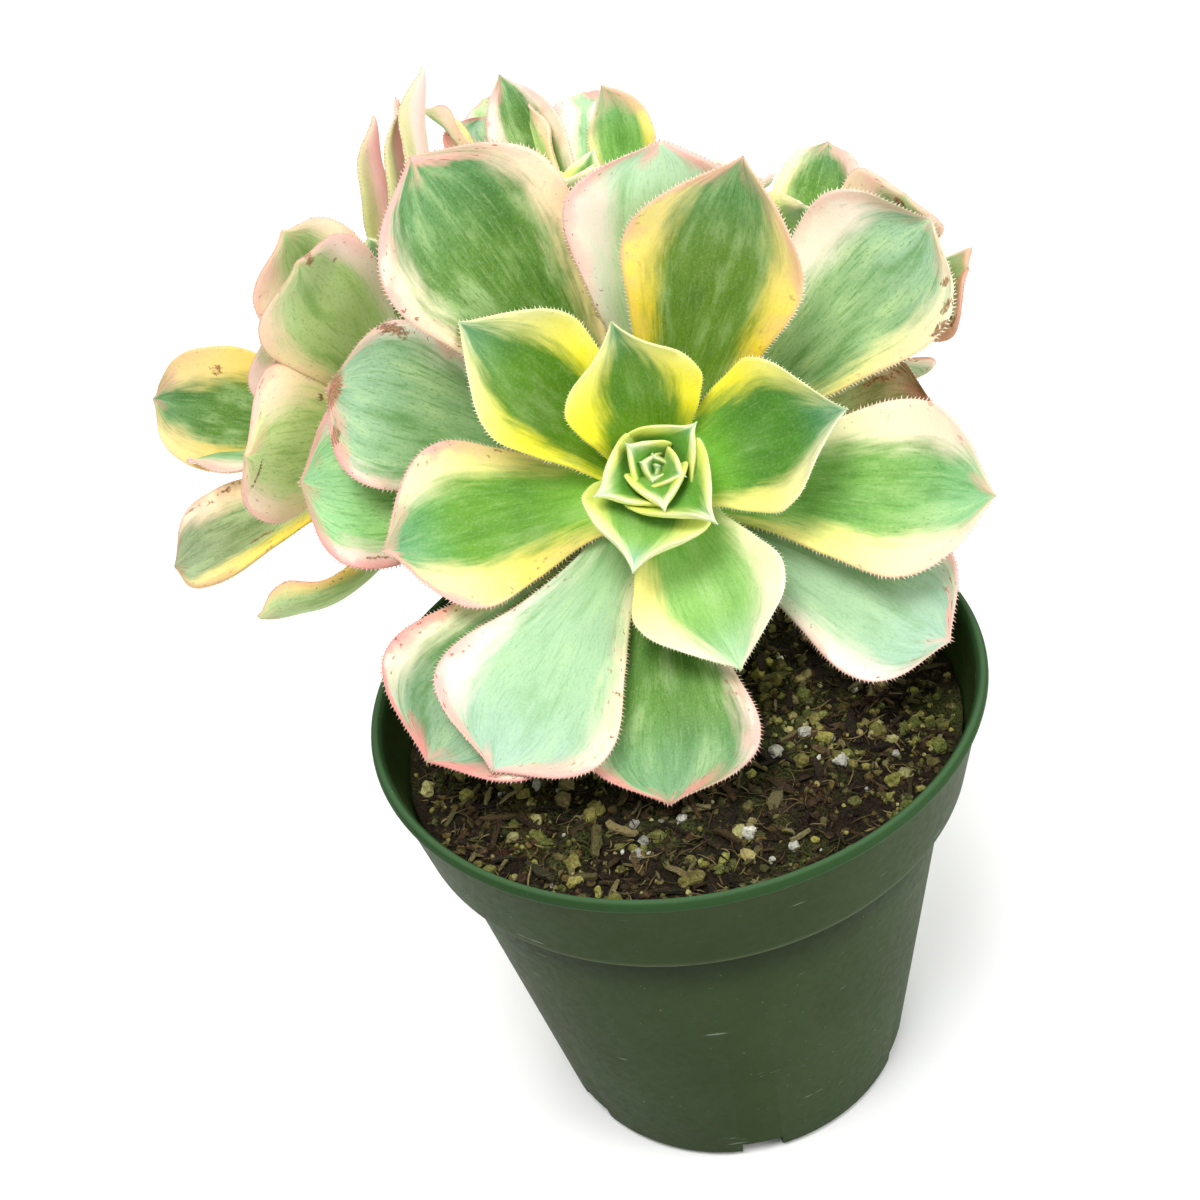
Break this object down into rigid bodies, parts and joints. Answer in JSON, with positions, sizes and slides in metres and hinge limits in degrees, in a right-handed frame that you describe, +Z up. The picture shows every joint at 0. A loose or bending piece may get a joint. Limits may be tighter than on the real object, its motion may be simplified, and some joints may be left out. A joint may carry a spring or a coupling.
{
  "type": "potted sunburst aeonium",
  "caption": "Small tapered pot of soil with a variegated tree aeonium whose forked stem carries rosettes of spoon-shaped leaves.",
  "frame": {"origin": "centre of the pot's flat underside", "axes": "+Z up along the pot's axis, -Y towards the largest rosette, +X to the right as seen from there"},
  "size_m": [0.165, 0.1816, 0.1786],
  "materials": {
    "pot": "satin, dusty and lightly scratched",
    "soil": "rough potting mix of bark, peat and pumice grains",
    "stem": "dry bark with leaf scars",
    "leaf_front": "waxy, green with cream and yellow margins",
    "leaf_left": "waxy, olive green with peach and pink margins",
    "leaf_back": "waxy, green with cream and pink margins",
    "leaf_right": "waxy, green with peach and pink margins"
  },
  "bodies": {
    "root": {"pot": "pot", "soil": "soil", "stems": "stem", "rosette_front": "leaf_front", "rosette_left": "leaf_left", "rosette_back": "leaf_back", "rosette_right": "leaf_right"}
  },
  "joints": []
}
